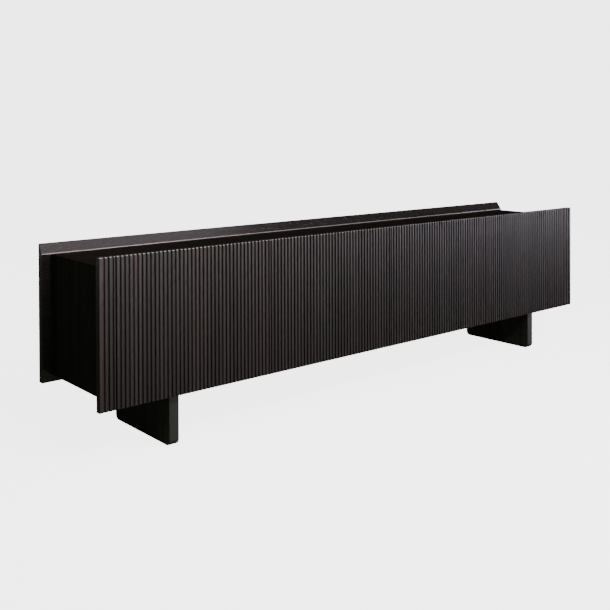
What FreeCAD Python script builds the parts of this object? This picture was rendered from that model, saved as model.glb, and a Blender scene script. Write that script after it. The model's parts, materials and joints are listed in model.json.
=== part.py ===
import FreeCAD, Part
import os
import re
import Sketcher

# Low sideboard on two slab legs.  A long carcass is hung between two taller
# panels: a bevelled back panel and a fluted front made of four hinged doors
# and a narrow fixed strip at each end.
#
# Row frame: +X to the right along the length, +Y to the back, +Z up, in mm.
# The origin is on the floor under the centre of the sideboard.

doc = FreeCAD.newDocument("sideboard")
sheet = doc.addObject("Spreadsheet::Sheet", "sizes")

SIZES = {
    # the whole piece
    "overall_length": 2600,
    "overall_depth": 460,
    "overall_height": 670,
    "floor_clearance": 180,      # floor to the underside of the front and back panels
    # back panel
    "back_thickness": 28,
    "bevel_height": 36,
    "bevel_land": 3,
    "bevel_round": 6,            # lower edge of the bevel
    "edge_round": 2,
    # carcass
    "end_overhang": 34,          # panels past the carcass ends
    "top_drop": 38,              # carcass top below the panels' top
    "bottom_rise": 27,           # carcass underside above the panels' underside
    "board_thickness": 20,
    "side_thickness": 30,
    # fluted front
    "door_count": 4,
    "door_thickness": 20,
    "door_clearance": 2,         # air between a door and the carcass edge
    "left_strip_width": 58,
    "right_strip_width": 49,
    "seam_gap": 3,
    "ribs_per_door": 39,
    "strip_grooves_left": 3,
    "strip_grooves_right": 2,
    "narrow_rib_width": 7,
    "groove_width": 5.8,
    "groove_depth": 5,
    "rib_round": 3,
    # shelves and their pins
    "shelf_thickness": 18,
    "shelf_setback": 22,
    "shelf_side_gap": 1,
    "shelf_back_gap": 2,
    "pin_diameter": 5,
    "pin_depth": 8,
    "pin_reach": 8,
    "pin_inset": 45,
    # wooden dowels
    "dowel_diameter": 8,
    "dowel_length": 32,
    "dowel_bite": 12,            # share of a dowel in the covering board
    "dowel_inset": 45,
    "strip_dowel_spacing": 150,
    "strip_dowel_shift": 6.5,    # outward from the middle of the carcass side
    # legs
    "leg_thickness": 38,
    "leg_inset": 274,
    "leg_front_setback": 37,
    "leg_back_setback": 45,
    "leg_corner_radius": 20,
    "leg_edge_round": 1.5,
    "glide_thickness": 2,
    "glide_diameter": 22,
    "glide_inset": 45,
    # leg bolts and their inserts
    "bolt_diameter": 8,
    "bolt_head_diameter": 16,
    "bolt_head_height": 4,
    "bolt_length": 50,
    "insert_diameter": 12,
    "insert_length": 25,
    "bolt_inset": 60,
    # concealed hinges
    "cup_diameter": 35,
    "cup_depth": 11.5,
    "cup_wall": 1,
    "cup_setback": 22.5,         # door edge to cup centre
    "flange_length": 60,
    "flange_width": 20,
    "flange_thickness": 1,
    "hinge_inset": 60,           # carcass floor or ceiling to hinge centre
    "plate_thickness": 4,
    "plate_height": 48,
    "plate_setback": 37,         # carcass edge to the plate's screw line
    "plate_width": 18,
    "arm_height": 16,
    "arm_thickness": 8,
    "arm_length": 66,
    "knuckle_reach": 32,         # door edge to the knuckle's far side
    "knuckle_depth": 12,
    "screw_diameter": 3.5,
    "screw_head_diameter": 7,
    "plate_screw_length": 12,
    "plate_screw_spacing": 32,
    "cup_screw_length": 10,
    "cup_screw_spacing": 48,
    # catches and bumpers
    "catch_length": 46,
    "catch_depth": 15,
    "catch_height": 14,
    "catch_inset": 12,           # compartment wall to catch
    "magnet_margin": 5,
    "magnet_depth": 4,
    "strike_thickness": 1.2,
    "bumper_diameter": 9,
    "bumper_thickness": 1.7,
    "bumper_inset": 9,
    # back panel screws
    "back_screw_diameter": 4,
    "back_screw_head_diameter": 8,
    "back_screw_head_height": 3,
    "back_screw_length": 55,
    "back_screw_end_inset": 90,
}

for row, (alias, value) in enumerate(SIZES.items(), start=1):
    sheet.set(f"A{row}", alias)
    sheet.set(f"B{row}", str(value))
    sheet.setAlias(f"B{row}", alias)
doc.recompute()

BACK_SCREWS_PER_ROW = 8
DOWELS_PER_JOINT = 4
STRIP_DOWELS = 3
BOLTS_PER_LEG = 3
HINGED_ON_THE_LEFT = (True, False, True, False)
DOORS = len(HINGED_ON_THE_LEFT)

ALIAS = re.compile(r"\b(" + "|".join(sorted(SIZES, key=len, reverse=True)) + r")\b")


def bound(text):
    """The expression text with every size name pointed at its cell."""
    return ALIAS.sub(r"sizes.\1", text)


def evaluate(text):
    return float(sheet.evalExpression(bound(text)))


# ---------------------------------------------------------------- key levels
FRONT = "(-overall_depth/2)"
BACK = "(overall_depth/2)"
LEFT = "(-overall_length/2)"
RIGHT = "(overall_length/2)"
PANEL_HEIGHT = "(overall_height - floor_clearance)"
DOOR_BACK = f"({FRONT} + door_thickness)"
CARCASS_FRONT = f"({DOOR_BACK} + door_clearance)"
CARCASS_BACK = f"({BACK} - back_thickness)"
CARCASS_DEPTH = f"({CARCASS_BACK} - {CARCASS_FRONT})"
CARCASS_LEFT = f"({LEFT} + end_overhang)"
CARCASS_RIGHT = f"({RIGHT} - end_overhang)"
CARCASS_BOTTOM = "(floor_clearance + bottom_rise)"
CARCASS_TOP = "(overall_height - top_drop)"
INNER_LEFT = f"({CARCASS_LEFT} + side_thickness)"
INNER_RIGHT = f"({CARCASS_RIGHT} - side_thickness)"
INNER_BOTTOM = f"({CARCASS_BOTTOM} + board_thickness)"
INNER_TOP = f"({CARCASS_TOP} - board_thickness)"
DOOR_WIDTH = ("((overall_length - left_strip_width - right_strip_width"
              " - (door_count + 1)*seam_gap)/door_count)")
RIB_PITCH = f"(({DOOR_WIDTH} - narrow_rib_width)/ribs_per_door)"
SHELF_BOTTOM = f"(({INNER_BOTTOM} + {INNER_TOP} - shelf_thickness)/2)"
LEG_FRONT = f"({FRONT} + leg_front_setback)"
LEG_BACK = f"({BACK} - leg_back_setback)"
LEG_HEIGHT = f"({CARCASS_BOTTOM} - glide_thickness)"


def door_left(index):
    return f"({LEFT} + left_strip_width + seam_gap + {index}*({DOOR_WIDTH} + seam_gap))"


def seam(index):
    """Middle of the seam on the left of door number index."""
    return f"({door_left(index)} - seam_gap/2)"


def bay_left(index):
    if index == 0:
        return INNER_LEFT
    return f"({seam(index)} + board_thickness/2)"


def bay_right(index):
    if index == DOORS - 1:
        return INNER_RIGHT
    return f"({seam(index + 1)} - board_thickness/2)"


def inward(index, base, offset, width):
    """Low X of a span that starts offset from base and runs away from the hinge."""
    if HINGED_ON_THE_LEFT[index]:
        return f"({base} + {offset})"
    return f"({base} - ({offset}) - ({width}))"


def toward_free(index, base, offset):
    """X at a distance from base, measured from the hinge side to the free side."""
    return f"({base} {'+' if HINGED_ON_THE_LEFT[index] else '-'} ({offset}))"


def hinge_edge(index):
    if HINGED_ON_THE_LEFT[index]:
        return door_left(index)
    return f"({door_left(index)} + {DOOR_WIDTH})"


def free_edge(index):
    if HINGED_ON_THE_LEFT[index]:
        return f"({door_left(index)} + {DOOR_WIDTH})"
    return door_left(index)


def hinge_wall(index):
    return bay_left(index) if HINGED_ON_THE_LEFT[index] else bay_right(index)


def spread(first, last, count):
    """Evenly spaced places from first to last."""
    return [f"({first} + {k}*(({last}) - ({first}))/{count - 1})" for k in range(count)]


HINGE_LEVELS = (f"({INNER_BOTTOM} + hinge_inset)", f"({INNER_TOP} - hinge_inset)")
SCREW_LINE = f"({CARCASS_FRONT} + plate_setback)"
FLANGE_FACE = f"({DOOR_BACK} + flange_thickness)"

# ---------------------------------------------------------------- makers
ROTATIONS = {
    "+Z": FreeCAD.Rotation(),
    "+X": FreeCAD.Rotation(FreeCAD.Vector(0, 1, 0), 90),
    "-X": FreeCAD.Rotation(FreeCAD.Vector(0, 1, 0), -90),
    "+Y": FreeCAD.Rotation(FreeCAD.Vector(1, 0, 0), -90),
    "-Y": FreeCAD.Rotation(FreeCAD.Vector(1, 0, 0), 90),
    "-Z": FreeCAD.Rotation(FreeCAD.Vector(1, 0, 0), 180),
}
nodes = []


def drive(obj, **expressions):
    for prop, text in expressions.items():
        obj.setExpression(prop, bound(text))


def place(obj, x, y, z):
    for axis, text in zip("xyz", (x, y, z)):
        obj.setExpression(f"Placement.Base.{axis}", bound(text))


def block(name, size, at):
    obj = doc.addObject("Part::Box", name)
    drive(obj, Length=size[0], Width=size[1], Height=size[2])
    place(obj, *at)
    return obj


def rod(name, diameter, length, at, axis="+Z"):
    obj = doc.addObject("Part::Cylinder", name)
    drive(obj, Radius=f"({diameter})/2", Height=length)
    obj.Placement = FreeCAD.Placement(FreeCAD.Vector(), ROTATIONS[axis])
    place(obj, *at)
    return obj


def cone(name, diameter_1, diameter_2, length, at, axis="+Z"):
    obj = doc.addObject("Part::Cone", name)
    drive(obj, Radius1=f"({diameter_1})/2", Radius2=f"({diameter_2})/2", Height=length)
    obj.Placement = FreeCAD.Placement(FreeCAD.Vector(), ROTATIONS[axis])
    place(obj, *at)
    return obj


def fuse(name, shapes):
    obj = doc.addObject("Part::MultiFuse", name)
    obj.Shapes = shapes
    return obj


def cut(name, base, tool):
    obj = doc.addObject("Part::Cut", name)
    obj.Base = base
    obj.Tool = tool
    return obj


def group(name, members):
    obj = doc.addObject("Part::Compound", name)
    obj.Links = members
    return obj


def countersunk_screw(name, shank, head, head_height, length, at, axis):
    """A screw whose flat head starts at the given point and points along axis."""
    return fuse(name, [
        cone(name + "_head", head, shank, head_height, at, axis),
        rod(name + "_shank", shank, length, at, axis),
    ])


def node(obj, label):
    obj.Label = label
    nodes.append(obj)
    return obj


def drilled(label, blank, fittings):
    """A board cut to take the fittings that sit in it, kept as a node."""
    blank.Label = label + "_blank"
    holes = fittings[0] if len(fittings) == 1 else group(label + "_holes", fittings)
    return node(cut(label + "_cut", blank, holes), label)


# ---------------------------------------------------------------- sketched bodies
def origin_plane(body, role):
    return next(item for item in body.Origin.OriginFeatures if item.Role == role)


def new_sketch(body, name, role):
    sketch = body.newObject("Sketcher::SketchObject", name)
    sketch.AttachmentSupport = [(origin_plane(body, role), "")]
    sketch.MapMode = "FlatFace"
    return sketch


def pin_point(sketch, edge, end, u, v):
    """Hold one end of a sketch edge at (u, v) from the sketch origin."""
    for kind, text in (("DistanceX", u), ("DistanceY", v)):
        number = sketch.addConstraint(Sketcher.Constraint(kind, -1, 1, edge, end, evaluate(text)))
        sketch.setExpression(f"Constraints[{number}]", bound(text))


def polygon(sketch, corners):
    """A closed outline of straight edges through corners given as expressions."""
    count = len(corners)
    points = [FreeCAD.Vector(evaluate(u), evaluate(v), 0) for u, v in corners]
    for k in range(count):
        sketch.addGeometry(Part.LineSegment(points[k], points[(k + 1) % count]), False)
    for k in range(count):
        sketch.addConstraint(Sketcher.Constraint("Coincident", k, 2, (k + 1) % count, 1))
    for k, (u, v) in enumerate(corners):
        pin_point(sketch, k, 1, u, v)


def pad(body, name, sketch, length):
    feature = body.newObject("PartDesign::Pad", name)
    feature.Profile = sketch
    drive(feature, Length=length)
    body.Tip = feature
    doc.recompute()
    return feature


def fillet(body, name, base, radius, wanted):
    """Round the edges of base for which wanted(edge) is true."""
    names = [f"Edge{k}" for k, edge in enumerate(base.Shape.Edges, start=1) if wanted(edge)]
    feature = body.newObject("PartDesign::Fillet", name)
    feature.Base = (base, names)
    drive(feature, Radius=radius)
    body.Tip = feature
    doc.recompute()
    return feature


def lies_at(edge, axis, value):
    """True if both ends of the edge have the given coordinate."""
    points = [vertex.Point for vertex in edge.Vertexes]
    return all(abs(getattr(point, axis) - value) < 1e-6 for point in points)


def slab(name, length, depth, height, at):
    """A body padded up from its own XY plane."""
    body = doc.addObject("PartDesign::Body", name)
    outline = new_sketch(body, name + "_outline", "XY_Plane")
    polygon(outline, [("0", "0"), (length, "0"), (length, depth), ("0", depth)])
    feature = pad(body, name + "_pad", outline, height)
    place(body, *at)
    return body, feature


def groove_outline(sketch, start):
    """Plan of one groove: round shoulders, straight walls, flat floor."""
    left = f"({start})"
    right = f"({start} + groove_width)"
    above = "-1"
    corners = [
        (f"{left} - rib_round", above), (f"{left} - rib_round", "0"),
        (left, "rib_round"), (left, "groove_depth"),
        (right, "groove_depth"), (right, "rib_round"),
        (f"{right} + rib_round", "0"), (f"{right} + rib_round", above),
    ]
    shoulders = {1: (f"{left} - rib_round", "rib_round"), 5: (f"{right} + rib_round", "rib_round")}
    points = [FreeCAD.Vector(evaluate(u), evaluate(v), 0) for u, v in corners]
    count = len(corners)
    for k in range(count):
        first = points[k]
        last = points[(k + 1) % count]
        if k in shoulders:
            centre = FreeCAD.Vector(*(evaluate(text) for text in shoulders[k]), 0)
            outward = ((first + last)*0.5 - centre).normalize()
            middle = centre + outward*(first - centre).Length
            sketch.addGeometry(Part.Arc(first, middle, last), False)
        else:
            sketch.addGeometry(Part.LineSegment(first, last), False)
    for k in range(count):
        sketch.addConstraint(Sketcher.Constraint("Coincident", k, 2, (k + 1) % count, 1))
    for k, (u, v) in enumerate(corners):
        pin_point(sketch, k, 1, u, v)
    for k in shoulders:
        radius = sketch.addConstraint(Sketcher.Constraint("Radius", k, evaluate("rib_round")))
        sketch.setExpression(f"Constraints[{radius}]", bound("rib_round"))


def fluted_board(name, width, thickness, first_groove, grooves, at):
    """An upright board with round-shouldered grooves down its front face."""
    body, blank = slab(name, width, thickness, PANEL_HEIGHT, at)
    rounded = fillet(body, name + "_front_round", blank, "rib_round",
                     lambda edge: lies_at(edge, "y", 0))
    outline = new_sketch(body, name + "_groove_outline", "XY_Plane")
    groove_outline(outline, first_groove)
    groove = body.newObject("PartDesign::Pocket", name + "_groove")
    groove.Profile = outline
    groove.Type = "ThroughAll"
    groove.Reversed = True
    body.Tip = groove
    doc.recompute()
    if groove.Shape.Volume >= rounded.Shape.Volume:
        raise RuntimeError(name + ": the groove cuts nothing")
    row = body.newObject("PartDesign::LinearPattern", name + "_grooves")
    row.Originals = [groove]
    row.Direction = (outline, ["H_Axis"])
    row.Mode = "Spacing"
    drive(row, Offset=RIB_PITCH, Occurrences=grooves)
    body.Tip = row
    doc.recompute()
    return body


# ---------------------------------------------------------------- dowels, pins, screws
DOWEL_ROWS = spread(f"{CARCASS_FRONT} + dowel_inset", f"{CARCASS_BACK} - dowel_inset",
                    DOWELS_PER_JOINT)
BOARD_MIDDLES = (f"({CARCASS_BOTTOM} + board_thickness/2)", f"({CARCASS_TOP} - board_thickness/2)")

side_dowels = []
for side, start, axis in (("left", f"{INNER_LEFT} - dowel_bite", "+X"),
                          ("right", f"{INNER_RIGHT} + dowel_bite", "-X")):
    for level, z in enumerate(BOARD_MIDDLES):
        for k, y in enumerate(DOWEL_ROWS):
            name = f"dowel_{side}_{level}_{k}"
            side_dowels.append(rod(name, "dowel_diameter", "dowel_length", (start, y, z), axis))

partition_dowels = []
for index in range(1, DOORS):
    for level, z in enumerate((f"{INNER_BOTTOM} - dowel_bite", f"{INNER_TOP} + dowel_bite")):
        for k, y in enumerate(DOWEL_ROWS):
            name = f"dowel_partition_{index}_{level}_{k}"
            axis = "-Z" if level else "+Z"
            partition_dowels.append(rod(name, "dowel_diameter", "dowel_length",
                                        (seam(index), y, z), axis))

side_dowels = group("side_dowels", side_dowels)
partition_dowels = group("partition_dowels", partition_dowels)
node(group("carcass_dowels", [side_dowels, partition_dowels]), "carcass_dowels")

CARCASS_MIDDLE = f"(({CARCASS_BOTTOM} + {CARCASS_TOP})/2)"
strip_dowels = []
for side, x in (("left", f"({CARCASS_LEFT} + side_thickness/2 - strip_dowel_shift)"),
                ("right", f"({CARCASS_RIGHT} - side_thickness/2 + strip_dowel_shift)")):
    for k in range(STRIP_DOWELS):
        z = f"({CARCASS_MIDDLE} + {k - 1}*strip_dowel_spacing)"
        strip_dowels.append(rod(f"strip_dowel_{side}_{k}", "dowel_diameter", "dowel_length",
                                (x, f"{CARCASS_FRONT} - dowel_bite", z), "+Y"))
strip_dowels = node(group("strip_dowel_set", strip_dowels), "strip_dowels")

PIN_ROWS = (f"({CARCASS_FRONT} + shelf_setback + pin_inset)", f"({CARCASS_BACK} - pin_inset)")
PIN_LEVEL = f"({SHELF_BOTTOM} - pin_diameter/2)"
shelf_pins = []
for index in range(DOORS):
    for side, start, axis in (("left", f"{bay_left(index)} - pin_depth", "+X"),
                              ("right", f"{bay_right(index)} + pin_depth", "-X")):
        for k, y in enumerate(PIN_ROWS):
            name = f"shelf_pin_{index}_{side}_{k}"
            shelf_pins.append(rod(name, "pin_diameter", "pin_depth + pin_reach",
                                  (start, y, PIN_LEVEL), axis))
shelf_pins = node(group("shelf_pin_set", shelf_pins), "shelf_pins")

SCREW_COLUMNS = spread(f"{CARCASS_LEFT} + back_screw_end_inset",
                       f"{CARCASS_RIGHT} - back_screw_end_inset", BACK_SCREWS_PER_ROW)
back_screws = []
for level, z in enumerate(BOARD_MIDDLES):
    for k, x in enumerate(SCREW_COLUMNS):
        back_screws.append(countersunk_screw(
            f"back_screw_{level}_{k}", "back_screw_diameter", "back_screw_head_diameter",
            "back_screw_head_height", "back_screw_length", (x, BACK, z), "-Y"))
back_screws = node(group("back_screw_set", back_screws), "back_panel_screws")

# ---------------------------------------------------------------- legs
LEG_COLUMNS = {
    "left": f"({LEFT} + leg_inset)",
    "right": f"({RIGHT} - leg_inset - leg_thickness)",
}
BOLT_ROWS = spread(f"{LEG_FRONT} + bolt_inset", f"{LEG_BACK} - bolt_inset", BOLTS_PER_LEG)
GLIDE_ROWS = (f"({LEG_FRONT} + glide_inset)", f"({LEG_BACK} - glide_inset)")
leg_bolts = []
leg_inserts = []
leg_glides = []
for side, x in LEG_COLUMNS.items():
    middle = f"({x} + leg_thickness/2)"
    for k, y in enumerate(BOLT_ROWS):
        bolt = countersunk_screw(
            f"bolt_{side}_{k}", "bolt_diameter", "bolt_head_diameter", "bolt_head_height",
            "bolt_length", (middle, y, INNER_BOTTOM), "-Z")
        leg_bolts.append(bolt)
        sleeve = rod(f"insert_{side}_{k}", "insert_diameter", "insert_length",
                     (middle, y, CARCASS_BOTTOM), "-Z")
        leg_inserts.append(cut(f"insert_{side}_{k}_bored", sleeve, bolt))
    for k, y in enumerate(GLIDE_ROWS):
        leg_glides.append(rod(f"glide_{side}_{k}", "glide_diameter", "glide_thickness",
                              (middle, y, "0")))
leg_bolts = node(group("leg_bolt_set", leg_bolts), "leg_bolts")
leg_inserts = node(group("leg_insert_set", leg_inserts), "leg_inserts")
node(group("leg_glide_set", leg_glides), "leg_glides")

leg_top = evaluate(LEG_HEIGHT)
leg_width = evaluate("leg_thickness")


def bottom_corner(edge):
    return lies_at(edge, "z", 0) and abs(edge.Length - leg_width) < 1e-6


def outline_edge(edge):
    """An edge of either broad face of a leg, apart from the hidden top ones."""
    on_face = lies_at(edge, "x", 0) or lies_at(edge, "x", leg_width)
    return on_face and not lies_at(edge, "z", leg_top)


for side, x in LEG_COLUMNS.items():
    body, blank = slab(f"leg_{side}_slab", "leg_thickness", f"{LEG_BACK} - {LEG_FRONT}",
                       LEG_HEIGHT, (x, LEG_FRONT, "glide_thickness"))
    turned = fillet(body, f"leg_{side}_corners", blank, "leg_corner_radius", bottom_corner)
    fillet(body, f"leg_{side}_edges", turned, "leg_edge_round", outline_edge)
    drilled(f"leg_{side}", body, [leg_bolts, leg_inserts])

# ---------------------------------------------------------------- hinges, catches, bumpers
hinge_arms = []
plate_screws = []
catches = []
magnets = []
door_fittings = []
for index in range(DOORS):
    wall = hinge_wall(index)
    edge = hinge_edge(index)
    tag = index + 1
    cup_x = toward_free(index, edge, "cup_setback")
    into_wall = "-X" if HINGED_ON_THE_LEFT[index] else "+X"
    cups = []
    cup_screws = []
    arms = []
    for level, z in enumerate(HINGE_LEVELS):
        name = f"hinge_{tag}_{level}"
        # fixed side: mounting plate on the compartment wall, arm and knuckle
        plate_x = inward(index, wall, "0", "plate_thickness")
        plate = block(name + "_plate", ("plate_thickness", "plate_width", "plate_height"),
                      (plate_x, f"{SCREW_LINE} - plate_width/2", f"{z} - plate_height/2"))
        arm_x = inward(index, wall, "plate_thickness", "arm_thickness")
        arm = block(name + "_arm", ("arm_thickness", "arm_length", "arm_height"),
                    (arm_x, CARCASS_FRONT, f"{z} - arm_height/2"))
        if HINGED_ON_THE_LEFT[index]:
            wall_to_edge = f"({edge} - {wall})"
        else:
            wall_to_edge = f"({wall} - {edge})"
        knuckle_width = f"({wall_to_edge} + knuckle_reach - plate_thickness)"
        knuckle_x = inward(index, wall, "plate_thickness", knuckle_width)
        knuckle = block(name + "_knuckle", (knuckle_width, "knuckle_depth", "arm_height"),
                        (knuckle_x, CARCASS_FRONT, f"{z} - arm_height/2"))
        screw_x = toward_free(index, wall, "plate_thickness")
        screws = group(name + "_plate_screws", [
            countersunk_screw(f"{name}_plate_screw_{k}", "screw_diameter", "screw_head_diameter",
                              "plate_thickness/2", "plate_screw_length",
                              (screw_x, SCREW_LINE, f"{z} + {step}*plate_screw_spacing/2"), into_wall)
            for k, step in enumerate((-1, 1))])
        plate_screws.append(screws)
        arms.append(cut(name + "_fixed", fuse(name + "_fixed_blank", [plate, arm, knuckle]), screws))
        # moving side: flanged cup let into the door's back
        shell = rod(name + "_cup_shell", "cup_diameter", "cup_depth", (cup_x, DOOR_BACK, z), "-Y")
        flange = block(name + "_flange", ("flange_width", "flange_thickness", "flange_length"),
                       (f"{cup_x} - flange_width/2", DOOR_BACK, f"{z} - flange_length/2"))
        rim = rod(name + "_rim", "cup_diameter", "flange_thickness", (cup_x, DOOR_BACK, z), "+Y")
        hollow = rod(name + "_hollow", "cup_diameter - 2*cup_wall",
                     "cup_depth - cup_wall + flange_thickness", (cup_x, FLANGE_FACE, z), "-Y")
        cup_blank = cut(name + "_cup", fuse(name + "_cup_blank", [shell, flange, rim]), hollow)
        screws = group(name + "_cup_screws", [
            countersunk_screw(f"{name}_cup_screw_{k}", "screw_diameter", "screw_head_diameter - 1",
                              "flange_thickness", "cup_screw_length",
                              (cup_x, FLANGE_FACE, f"{z} + {step}*cup_screw_spacing/2"), "-Y")
            for k, step in enumerate((-1, 1))])
        cup_screws.append(screws)
        cups.append(cut(name + "_cup_drilled", cup_blank, screws))
    hinge_arms.append(node(group(f"hinge_arm_set_{tag}", arms), f"hinge_arms_{tag}"))
    cups = node(group(f"hinge_cup_set_{tag}", cups), f"door_{tag}_hinge_cups")
    cup_screws = node(group(f"cup_screw_set_{tag}", cup_screws), f"door_{tag}_cup_screws")
    recesses = group(f"cup_recesses_{tag}", [
        rod(f"cup_recess_{tag}_{level}", "cup_diameter", "cup_depth", (cup_x, DOOR_BACK, z), "-Y")
        for level, z in enumerate(HINGE_LEVELS)])
    # magnetic catch under the carcass top, near the door's free edge
    if HINGED_ON_THE_LEFT[index]:
        catch_x = f"({bay_right(index)} - catch_inset - catch_length)"
    else:
        catch_x = f"({bay_left(index)} + catch_inset)"
    catch_z = f"({INNER_TOP} - catch_height)"
    housing = block(f"catch_{tag}_housing", ("catch_length", "catch_depth", "catch_height"),
                    (catch_x, CARCASS_FRONT, catch_z))
    magnet = block(f"catch_{tag}_magnet",
                   ("catch_length - 2*magnet_margin", "magnet_depth", "catch_height - magnet_margin"),
                   (f"{catch_x} + magnet_margin", CARCASS_FRONT, f"{catch_z} + magnet_margin/2"))
    catches.append(cut(f"catch_{tag}_body", housing, magnet))
    magnets.append(magnet)
    node(block(f"strike_{tag}",
               ("catch_length - magnet_margin", "strike_thickness", "catch_height"),
               (f"{catch_x} + magnet_margin/2", DOOR_BACK, catch_z)), f"door_{tag}_strike_plate")
    # soft bumpers that meet the front edges of the carcass top and floor
    bumper_x = toward_free(index, free_edge(index), "-bumper_inset")
    node(group(f"bumper_set_{tag}", [
        rod(f"bumper_{tag}_{level}", "bumper_diameter", "bumper_thickness",
            (bumper_x, DOOR_BACK, z), "+Y")
        for level, z in enumerate(BOARD_MIDDLES)]), f"door_{tag}_bumpers")
    door_fittings.append([recesses, cup_screws])
plate_screws = node(group("plate_screw_set", plate_screws), "hinge_plate_screws")
node(group("catch_set", catches), "magnetic_catches")
node(group("magnet_set", magnets), "catch_magnets")

# ---------------------------------------------------------------- carcass
drilled("carcass_left_side",
        block("left_side", ("side_thickness", CARCASS_DEPTH, f"{CARCASS_TOP} - {CARCASS_BOTTOM}"),
              (CARCASS_LEFT, CARCASS_FRONT, CARCASS_BOTTOM)),
        [side_dowels, strip_dowels, shelf_pins, plate_screws])
drilled("carcass_right_side",
        block("right_side", ("side_thickness", CARCASS_DEPTH, f"{CARCASS_TOP} - {CARCASS_BOTTOM}"),
              (INNER_RIGHT, CARCASS_FRONT, CARCASS_BOTTOM)),
        [side_dowels, strip_dowels, shelf_pins, plate_screws])
drilled("carcass_top",
        block("top_board", (f"{INNER_RIGHT} - {INNER_LEFT}", CARCASS_DEPTH, "board_thickness"),
              (INNER_LEFT, CARCASS_FRONT, INNER_TOP)),
        [side_dowels, partition_dowels, back_screws])
drilled("carcass_bottom",
        block("bottom_board", (f"{INNER_RIGHT} - {INNER_LEFT}", CARCASS_DEPTH, "board_thickness"),
              (INNER_LEFT, CARCASS_FRONT, CARCASS_BOTTOM)),
        [side_dowels, partition_dowels, back_screws, leg_bolts])
for index, label in enumerate(("partition_left", "partition_centre", "partition_right"), start=1):
    drilled(label,
            block(label + "_board", ("board_thickness", CARCASS_DEPTH, f"{INNER_TOP} - {INNER_BOTTOM}"),
                  (f"{seam(index)} - board_thickness/2", CARCASS_FRONT, INNER_BOTTOM)),
            [partition_dowels, shelf_pins, plate_screws])
for index in range(DOORS):
    node(block(f"shelf_board_{index + 1}",
               (f"{bay_right(index)} - {bay_left(index)} - 2*shelf_side_gap",
                f"{CARCASS_DEPTH} - shelf_setback - shelf_back_gap", "shelf_thickness"),
               (f"{bay_left(index)} + shelf_side_gap", f"{CARCASS_FRONT} + shelf_setback", SHELF_BOTTOM)),
         f"shelf_{index + 1}")

# ---------------------------------------------------------------- back panel
back_body = doc.addObject("PartDesign::Body", "back_board")
back_outline = new_sketch(back_body, "back_outline", "YZ_Plane")
polygon(back_outline, [
    ("0", "0"), ("back_thickness", "0"), ("back_thickness", PANEL_HEIGHT),
    ("back_thickness - bevel_land", PANEL_HEIGHT), ("0", f"{PANEL_HEIGHT} - bevel_height"),
])
back_pad = pad(back_body, "back_pad", back_outline, "overall_length")
bevel_foot = evaluate(f"{PANEL_HEIGHT} - bevel_height")
front_edges = fillet(back_body, "back_bevel_edge", back_pad, "bevel_round",
                     lambda edge: lies_at(edge, "y", 0) and lies_at(edge, "z", bevel_foot))
fillet(back_body, "back_foot_edge", front_edges, "edge_round",
       lambda edge: lies_at(edge, "y", 0) and lies_at(edge, "z", 0))
place(back_body, LEFT, CARCASS_BACK, "floor_clearance")
drilled("back_panel", back_body, [back_screws])

# ---------------------------------------------------------------- fluted front
for index in range(DOORS):
    label = f"door_{index + 1}"
    board = fluted_board(label + "_board", DOOR_WIDTH, "door_thickness",
                         f"{RIB_PITCH} - groove_width", "ribs_per_door",
                         (door_left(index), FRONT, "floor_clearance"))
    drilled(label, board, door_fittings[index])

STRIP_THICKNESS = "(door_thickness + door_clearance)"
left_strip = fluted_board(
    "left_strip_board", "left_strip_width", STRIP_THICKNESS,
    f"left_strip_width - narrow_rib_width - groove_width - (strip_grooves_left - 1)*{RIB_PITCH}",
    "strip_grooves_left", (LEFT, FRONT, "floor_clearance"))
drilled("left_front_strip", left_strip, [strip_dowels])
right_strip = fluted_board(
    "right_strip_board", "right_strip_width", STRIP_THICKNESS,
    f"{RIB_PITCH} - groove_width",
    "strip_grooves_right", (f"{RIGHT} - right_strip_width", FRONT, "floor_clearance"))
drilled("right_front_strip", right_strip, [strip_dowels])

# ---------------------------------------------------------------- check and write
doc.recompute()
for obj in doc.Objects:
    if {"Invalid", "Error"} & set(obj.State):
        raise RuntimeError(f"{obj.Label}: {obj.State}")
for part in nodes:
    if part.Shape.isNull() or not part.Shape.isValid() or not part.Shape.Solids:
        raise RuntimeError(f"{part.Label}: bad shape")

os.makedirs("parts", exist_ok=True)
for part in nodes:
    part.Shape.exportStep(f"parts/{part.Label}.step")
print(len(nodes), "nodes")
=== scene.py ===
import json
import math
import bpy
from mathutils import Matrix, Vector


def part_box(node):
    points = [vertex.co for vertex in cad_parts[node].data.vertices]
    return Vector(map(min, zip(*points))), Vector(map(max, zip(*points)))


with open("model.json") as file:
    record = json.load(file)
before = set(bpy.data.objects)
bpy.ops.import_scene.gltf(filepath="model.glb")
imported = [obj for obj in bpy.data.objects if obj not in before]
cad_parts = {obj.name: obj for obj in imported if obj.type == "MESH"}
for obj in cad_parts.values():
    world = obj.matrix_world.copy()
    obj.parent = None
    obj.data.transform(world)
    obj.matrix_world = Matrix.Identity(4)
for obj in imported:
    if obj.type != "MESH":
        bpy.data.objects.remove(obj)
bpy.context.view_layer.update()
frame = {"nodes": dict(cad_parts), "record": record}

NODES = frame["nodes"]
SLOTS = {part["node"]: part["material_slot"] for part in frame["record"]["subparts"]}


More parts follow.
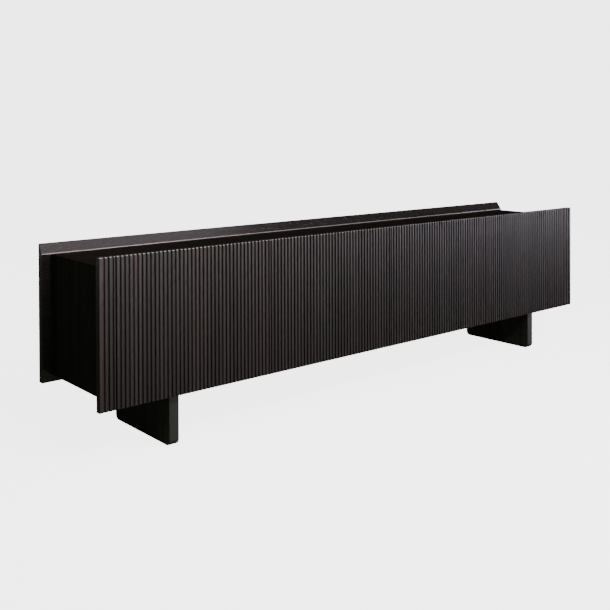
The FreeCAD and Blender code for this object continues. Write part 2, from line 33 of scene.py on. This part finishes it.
# ---------------------------------------------------------------- node graph helper
class Graph:
    """Short calls for building one material's node tree."""

    def __init__(self, name):
        self.material = bpy.data.materials.new(name)
        self.material.use_nodes = True
        self.tree = self.material.node_tree
        self.shader = self.tree.nodes["Principled BSDF"]

    def node(self, kind, **settings):
        made = self.tree.nodes.new(kind)
        for key, value in settings.items():
            setattr(made, key, value)
        return made

    def feed(self, socket, value):
        """Link an output socket, or set a plain value."""
        if isinstance(value, bpy.types.NodeSocket):
            self.tree.links.new(value, socket)
        else:
            socket.default_value = value

    def math(self, operation, a, b=0.0, clamp=False):
        made = self.node("ShaderNodeMath", operation=operation, use_clamp=clamp)
        self.feed(made.inputs[0], a)
        self.feed(made.inputs[1], b)
        return made.outputs[0]

    def object_coordinates(self):
        return self.node("ShaderNodeTexCoord").outputs["Object"]

    def stretched(self, vector, scale, offset=(0.0, 0.0, 0.0)):
        made = self.node("ShaderNodeMapping")
        self.feed(made.inputs["Vector"], vector)
        made.inputs["Scale"].default_value = scale
        made.inputs["Location"].default_value = offset
        return made.outputs["Vector"]

    def noise(self, vector, scale, detail=2.0, roughness=0.5, distortion=0.0):
        made = self.node("ShaderNodeTexNoise")
        self.feed(made.inputs["Vector"], vector)
        made.inputs["Scale"].default_value = scale
        made.inputs["Detail"].default_value = detail
        made.inputs["Roughness"].default_value = roughness
        made.inputs["Distortion"].default_value = distortion
        return made.outputs["Fac"]

    def remap(self, value, low, high, to_low=0.0, to_high=1.0):
        made = self.node("ShaderNodeMapRange", interpolation_type="SMOOTHSTEP")
        self.feed(made.inputs["Value"], value)
        made.inputs["From Min"].default_value = low
        made.inputs["From Max"].default_value = high
        made.inputs["To Min"].default_value = to_low
        made.inputs["To Max"].default_value = to_high
        return made.outputs["Result"]

    def mix(self, factor, a, b, blend="MIX"):
        made = self.node("ShaderNodeMix", data_type="RGBA", blend_type=blend)
        self.feed(made.inputs["Factor"], factor)
        colours = [socket for socket in made.inputs if socket.type == "RGBA"]
        for socket, value in zip(colours, (a, b)):
            self.feed(socket, value)
        return next(socket for socket in made.outputs if socket.type == "RGBA")

    def bump(self, height, strength, distance, normal=None):
        made = self.node("ShaderNodeBump")
        self.feed(made.inputs["Height"], height)
        made.inputs["Strength"].default_value = strength
        made.inputs["Distance"].default_value = distance
        if normal is not None:
            self.feed(made.inputs["Normal"], normal)
        return made.outputs["Normal"]

    def finish(self, colour, roughness, normal=None, **constants):
        self.feed(self.shader.inputs["Base Color"], colour)
        self.feed(self.shader.inputs["Roughness"], roughness)
        if normal is not None:
            self.feed(self.shader.inputs["Normal"], normal)
        for label, value in constants.items():
            self.shader.inputs[label.replace("_", " ")].default_value = value
        return self.material


def rgb(red, green, blue):
    return (red, green, blue, 1.0)


# ---------------------------------------------------------------- materials
GRAIN_STRETCH = 0.045            # figure is this much slower along the grain than across it
PORE_STRETCH = 0.05
RING_SHARE, BAND_SHARE, FIBRE_SHARE = 0.45, 0.40, 0.25
PORE_COLOUR = (0.004, 0.0035, 0.003)
# painted shade: colour and strength of the darkening put on sideways-facing faces of the fluted boards
EDGE_SHADE_COLOUR = (0.003, 0.003, 0.002)
EDGE_SHADE_SPAN = (0.55, 0.92)        # sideways part of the normal, from no painted shade to full painted shade
EDGE_SHADE_STRENGTH = 0.85
REDDISH_STRENGTH = 0.6
PORE_STRENGTH = 0.7


def stained_wood(name, grain, seed, dark, light, red, rough, specular,
                 painted_highlight=None, painted_highlight_span=None, rib_pitch=None, rib_start=0.0):
    """Near-black stained open-pore timber with its grain along one axis; ribbed boards get painted shade
    on sideways faces, and rounded upper edges can get a painted highlight.
    """
    g = Graph(name)
    place = g.object_coordinates()
    offset = (seed*1.37, seed*2.11, seed*0.83)
    along = [GRAIN_STRETCH if axis == grain else 1.0 for axis in "XYZ"]
    fine = [PORE_STRETCH if axis == grain else 1.0 for axis in "XYZ"]
    grain_space = g.stretched(place, along, offset)
    pore_space = g.stretched(place, fine, offset)
    # broad bands and the year rings of a sawn board
    field = g.noise(grain_space, 9.0, 4.0, 0.55, 0.8)
    rings = g.math("PINGPONG", g.math("MULTIPLY", field, 14.0), 1.0)
    ring_line = g.remap(rings, 0.05, 0.75)
    bands = g.remap(g.noise(grain_space, 26.0, 3.0, 0.6), 0.35, 0.7)
    fibres = g.noise(pore_space, 900.0, 2.0, 0.6)
    # open pores: short dark dashes along the grain, thicker in the soft wood
    pores = g.remap(g.noise(pore_space, 620.0, 1.0, 0.4), 0.60, 0.68)
    tone = g.math("ADD", g.math("MULTIPLY", ring_line, RING_SHARE), g.math("MULTIPLY", bands, BAND_SHARE))
    tone = g.math("ADD", tone, g.math("MULTIPLY", fibres, FIBRE_SHARE), clamp=True)
    colour = g.mix(tone, rgb(*dark), rgb(*light))
    reddish = g.remap(g.noise(g.stretched(place, along, (seed, 4.0, seed)), 5.0, 2.0), 0.52, 0.72)
    if rib_pitch:
        # each rib has its own tone, and about one in ten is reddish
        split = g.node("ShaderNodeSeparateXYZ")
        g.feed(split.inputs[0], place)
        from_start = g.math("SUBTRACT", split.outputs["X"], rib_start)
        number = g.math("FLOOR", g.math("DIVIDE", from_start, rib_pitch))
        chance = g.node("ShaderNodeTexWhiteNoise", noise_dimensions="1D")
        g.feed(chance.inputs["W"], g.math("ADD", number, seed*17.0))
        own_tone = g.remap(chance.outputs["Value"], 0.0, 1.0, 0.78, 1.15)
        gain = g.node("ShaderNodeCombineColor")
        for socket in gain.inputs[:3]:
            g.feed(socket, own_tone)
        colour = g.mix(1.0, colour, gain.outputs[0], "MULTIPLY")
        picked = g.remap(chance.outputs["Value"], 0.90, 0.98, 0.0, 0.75)
        reddish = g.math("MAXIMUM", g.math("MULTIPLY", reddish, 0.4), picked)
    colour = g.mix(g.math("MULTIPLY", reddish, REDDISH_STRENGTH), colour, rgb(*red))
    colour = g.mix(g.math("MULTIPLY", pores, PORE_STRENGTH), colour, rgb(*PORE_COLOUR))
    facing = g.node("ShaderNodeSeparateXYZ")
    g.feed(facing.inputs[0], g.node("ShaderNodeNewGeometry").outputs["Normal"])
    if rib_pitch:
        # painted shade: the upright edges and the groove walls, which face sideways, are darkened in
        # colour; the normal is in world directions, so the face of a door darkens too as the door opens
        painted_edge_shade = g.remap(g.math("ABSOLUTE", facing.outputs["X"]), *EDGE_SHADE_SPAN, 0.0, EDGE_SHADE_STRENGTH)
        colour = g.mix(painted_edge_shade, colour, rgb(*EDGE_SHADE_COLOUR))
    if painted_highlight:
        # painted highlight: the rounded upper edges, where the normal tilts upward, are lightened in
        # colour
        rise = g.remap(facing.outputs["Z"], painted_highlight_span[0], painted_highlight_span[1])
        fall = g.remap(facing.outputs["Z"], painted_highlight_span[2], painted_highlight_span[3], 1.0, 0.0)
        colour = g.mix(g.math("MULTIPLY", rise, fall), colour, rgb(*painted_highlight))
    roughness = g.math("ADD", g.math("MULTIPLY", ring_line, -0.06), rough + 0.03)
    roughness = g.math("ADD", roughness, g.math("MULTIPLY", pores, 0.2), clamp=True)
    relief = g.math("SUBTRACT", g.math("MULTIPLY", ring_line, 0.25), pores)
    normal = g.bump(relief, 0.35, 0.0003)
    normal = g.bump(fibres, 0.15, 0.0001, normal)
    return g.finish(colour, roughness, normal, Specular_IOR_Level=specular, IOR=1.5)


def plain_wood(name):
    """Unfinished beech of the dowels."""
    g = Graph(name)
    place = g.object_coordinates()
    fibres = g.noise(g.stretched(place, (0.1, 1.0, 1.0)), 700.0, 3.0)
    colour = g.mix(fibres, rgb(0.42, 0.27, 0.15), rgb(0.62, 0.44, 0.28))
    return g.finish(colour, 0.65, g.bump(fibres, 0.2, 0.0002))


def plated_steel(name, tint, rough):
    """Nickel or zinc plating with fine drawing lines and dull patches."""
    g = Graph(name)
    place = g.object_coordinates()
    lines = g.noise(g.stretched(place, (1.0, 1.0, 0.04)), 2600.0, 2.0)
    patches = g.noise(place, 90.0, 3.0)
    colour = g.mix(patches, rgb(*(0.75*c for c in tint)), rgb(*tint))
    roughness = g.math("ADD", g.remap(patches, 0.3, 0.7, rough - 0.07, rough + 0.08),
                       g.math("MULTIPLY", lines, 0.1))
    return g.finish(colour, roughness, g.bump(lines, 0.12, 0.00005), Metallic=1.0)


def moulded(name, tint, rough):
    """Moulded plastic or rubber with a fine spark texture."""
    g = Graph(name)
    place = g.object_coordinates()
    spark = g.noise(place, 1500.0, 2.0)
    cloud = g.noise(place, 60.0, 2.0)
    colour = g.mix(cloud, rgb(*(0.7*c for c in tint)), rgb(*(1.2*c for c in tint)))
    roughness = g.remap(cloud, 0.3, 0.7, rough - 0.06, rough + 0.06)
    return g.finish(colour, roughness, g.bump(spark, 0.25, 0.00008))


# ---------------------------------------------------------------- materials onto the CAD nodes
NARROW_RIB = 0.007
HALF_GROOVE = 0.0029
RIBS_PER_DOOR = 39
DOOR_LOW, DOOR_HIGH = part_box("door_1")
RIB_PITCH = (DOOR_HIGH.x - DOOR_LOW.x - NARROW_RIB)/RIBS_PER_DOOR
# linear colours; the highlight span is the upward part of the normal where the painted highlight on the
# rounded edge starts, is full, begins to fade and ends
FLUTED = dict(dark=(0.010, 0.0085, 0.008), light=(0.033, 0.029, 0.028), red=(0.046, 0.027, 0.025),
              rough=0.35, specular=0.5, painted_highlight=(0.42, 0.38, 0.39), painted_highlight_span=(0.15, 0.40, 0.85, 0.97))
PANEL = dict(dark=(0.008, 0.007, 0.007), light=(0.022, 0.019, 0.019), red=(0.024, 0.017, 0.016),
             rough=0.21, specular=0.75, painted_highlight=(0.50, 0.46, 0.47), painted_highlight_span=(0.06, 0.18, 0.46, 0.58))
CARCASS = dict(dark=(0.0055, 0.0055, 0.0035), light=(0.015, 0.015, 0.010),
               red=(0.017, 0.012, 0.009), rough=0.60, specular=0.16)
LEG = dict(dark=(0.012, 0.0135, 0.0105), light=(0.030, 0.032, 0.026), red=(0.030, 0.025, 0.020),
           rough=0.48, specular=0.42)
WOODS = {"fluted_wood": FLUTED, "panel_wood": PANEL, "carcass_wood": CARCASS, "leg_wood": LEG}
LENGTHWAYS = ("back_panel", "carcass_top", "carcass_bottom", "shelf_")

others = {
    "dowel_wood": plain_wood("dowel_wood"),
    "hinge_steel": plated_steel("hinge_steel", (0.60, 0.59, 0.57), 0.27),
    "fastener_steel": plated_steel("fastener_steel", (0.46, 0.46, 0.47), 0.34),
    "catch_plastic": moulded("catch_plastic", (0.020, 0.020, 0.021), 0.50),
    "magnet": moulded("magnet", (0.10, 0.10, 0.105), 0.45),
    "glide_plastic": moulded("glide_plastic", (0.030, 0.030, 0.030), 0.55),
    "bumper_rubber": moulded("bumper_rubber", (0.045, 0.045, 0.045), 0.70),
}
for seed, (label, piece) in enumerate(sorted(NODES.items()), start=1):
    slot = SLOTS[label]
    if slot in WOODS:
        grain = "X" if label.startswith(LENGTHWAYS) else "Z"
        ribs = {}
        if slot == "fluted_wood":
            ribs = dict(rib_pitch=RIB_PITCH, rib_start=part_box(label)[0].x - HALF_GROOVE)
        finish = stained_wood(f"{label}_wood", grain, seed, **WOODS[slot], **ribs)
    else:
        finish = others[slot]
    piece.data.materials.clear()
    piece.data.materials.append(finish)


# ---------------------------------------------------------------- eased edges
EASED_WIDTH = 0.0008
WELD_GAP = 0.00002
EASED_BOARDS = ("shelf_", "partition_", "carcass_")
FITTINGS = ("dowels", "pins")


def ease_edges(label):
    """A small round on the sharp edges of a board, inside its own outline."""
    weld = NODES[label].modifiers.new("weld", "WELD")
    weld.merge_threshold = WELD_GAP
    bevel = NODES[label].modifiers.new("eased", "BEVEL")
    bevel.width = EASED_WIDTH
    bevel.segments = 2
    bevel.limit_method = "ANGLE"
    bevel.angle_limit = math.radians(50)


for label in NODES:
    if label.startswith(EASED_BOARDS) and not any(word in label for word in FITTINGS):
        ease_edges(label)


# ---------------------------------------------------------------- floor, light and camera
def staged_plane(name, centre, size, finish):
    mesh = bpy.data.meshes.new(name)
    x, y = size[0]/2, size[1]/2
    mesh.from_pydata([(-x, -y, 0), (x, -y, 0), (x, y, 0), (-x, y, 0)], [], [(0, 1, 2, 3)])
    plane = bpy.data.objects.new(name, mesh)
    plane.location = centre
    bpy.context.scene.collection.objects.link(plane)
    mesh.materials.append(finish)
    return plane


def camera_only(tree, for_camera, for_light):
    """Mix two shaders: what the camera sees, and what lights the object."""
    ray = tree.nodes.new("ShaderNodeLightPath")
    choose = tree.nodes.new("ShaderNodeMixShader")
    tree.links.new(ray.outputs["Is Camera Ray"], choose.inputs[0])
    tree.links.new(for_light, choose.inputs[1])
    tree.links.new(for_camera, choose.inputs[2])
    return choose.outputs[0]


FLOOR_GLOW = 4.0         # brightness of floor and backdrop as the camera sees them
AMBIENT = 0.05           # even light from the room in front
AMBIENT_BEHIND = 0.3     # share of it that is left behind the sideboard


def floor_finish():
    """A pale sweep that is bright in view and throws little light back at the object."""
    g = Graph("pale_floor")
    cloud = g.noise(g.object_coordinates(), 1.2, 2.0)
    colour = g.mix(cloud, rgb(0.86, 0.86, 0.86), rgb(0.90, 0.90, 0.90))
    g.finish(colour, 0.9, Specular_IOR_Level=0.1, Emission_Strength=FLOOR_GLOW,
             Emission_Color=rgb(1.0, 1.0, 1.0))
    dim = g.node("ShaderNodeBsdfDiffuse")
    dim.inputs["Color"].default_value = rgb(0.20, 0.22, 0.17)
    both = camera_only(g.tree, g.shader.outputs[0], dim.outputs[0])
    g.tree.links.new(both, g.tree.nodes["Material Output"].inputs["Surface"])
    return g.material


FLOOR_SIDE = 400.0
staged_plane("floor", (0.0, 0.0, 0.0), (FLOOR_SIDE, FLOOR_SIDE), floor_finish())


def softbox(name, place, target, size, power, colour):
    """A rectangular lamp aimed at a point, which the camera doesn't see."""
    data = bpy.data.lights.new(name, "AREA")
    data.shape = "RECTANGLE"
    data.size, data.size_y = size
    data.energy = power
    data.color = colour
    lamp = bpy.data.objects.new(name, data)
    lamp.location = place
    lamp.rotation_mode = "QUATERNION"
    lamp.rotation_quaternion = (Vector(target) - Vector(place)).to_track_quat("-Z", "Y")
    lamp.visible_camera = False
    bpy.context.scene.collection.objects.link(lamp)


softbox("overhead", (0.10, -0.95, 2.65), (0.10, -0.1, 0.4), (2.2, 0.9), 7.0, (1.0, 0.86, 0.92))
softbox("high_front", (0.2, -2.6, 2.5), (0.1, 0.0, 0.65), (3.4, 0.25), 72.0, (1.0, 0.90, 0.95))
softbox("front_low", (1.4, -4.4, 0.62), (0.6, 0.0, 0.6), (3.6, 0.8), 62.0, (1.0, 0.90, 0.94))
softbox("right_low", (5.4, -3.6, 0.62), (1.0, 0.0, 0.6), (3.4, 0.8), 125.0, (0.92, 0.87, 1.0))
softbox("left_fill", (-3.4, -2.6, 0.9), (-0.6, 0.0, 0.5), (1.6, 1.0), 11.0, (0.82, 1.0, 0.70))
softbox("left_back", (-3.3, 2.6, 0.4), (-1.0, 0.0, 0.1), (1.6, 0.5), 2.0, (0.95, 1.0, 0.85))
softbox("left_top", (-1.25, -0.75, 1.25), (-1.28, 0.2, 0.6), (0.2, 0.2), 5.0, (1.0, 0.84, 0.88))

world = bpy.data.worlds.new("studio")
bpy.context.scene.world = world
world.use_nodes = True
shade = world.node_tree.nodes["Background"]
shade.inputs["Color"].default_value = rgb(0.95, 1.0, 0.82)
# the studio is dimmer behind the sideboard than in front of it
direction = world.node_tree.nodes.new("ShaderNodeTexCoord")
parts = world.node_tree.nodes.new("ShaderNodeSeparateXYZ")
falloff = world.node_tree.nodes.new("ShaderNodeMapRange")
world.node_tree.links.new(direction.outputs["Generated"], parts.inputs[0])
world.node_tree.links.new(parts.outputs["Y"], falloff.inputs["Value"])
falloff.inputs["From Min"].default_value = -0.6
falloff.inputs["From Max"].default_value = 0.4
falloff.inputs["To Min"].default_value = AMBIENT
falloff.inputs["To Max"].default_value = AMBIENT_BEHIND*AMBIENT
world.node_tree.links.new(falloff.outputs["Result"], shade.inputs["Strength"])
seen = world.node_tree.nodes.new("ShaderNodeBackground")
seen.inputs["Color"].default_value = rgb(1.0, 1.0, 1.0)
seen.inputs["Strength"].default_value = FLOOR_GLOW
world.node_tree.links.new(camera_only(world.node_tree, seen.outputs[0], shade.outputs[0]),
                          world.node_tree.nodes["World Output"].inputs["Surface"])

CAMERA_PLACE = (-2.5543, -2.7158, 1.0708)
CAMERA_YAW = math.radians(40.17)
CAMERA_PITCH = math.radians(-0.643)
CAMERA_ROLL = math.radians(-0.183)
camera_data = bpy.data.cameras.new("camera")
camera_data.sensor_width = 36.0
camera_data.lens = 51.28
camera_data.shift_y = -0.2725
camera_data.clip_end = 500.0
camera = bpy.data.objects.new("camera", camera_data)
forward = Vector((math.sin(CAMERA_YAW)*math.cos(CAMERA_PITCH),
                  math.cos(CAMERA_YAW)*math.cos(CAMERA_PITCH),
                  math.sin(CAMERA_PITCH)))
level_right = Vector((math.cos(CAMERA_YAW), -math.sin(CAMERA_YAW), 0.0))
level_up = level_right.cross(forward)
right = math.cos(CAMERA_ROLL)*level_right + math.sin(CAMERA_ROLL)*level_up
up = math.cos(CAMERA_ROLL)*level_up - math.sin(CAMERA_ROLL)*level_right
turn = Matrix((right, up, -forward)).transposed().to_4x4()
camera.matrix_world = Matrix.Translation(CAMERA_PLACE) @ turn
bpy.context.scene.collection.objects.link(camera)
bpy.context.scene.camera = camera

bpy.context.view_layer.update()
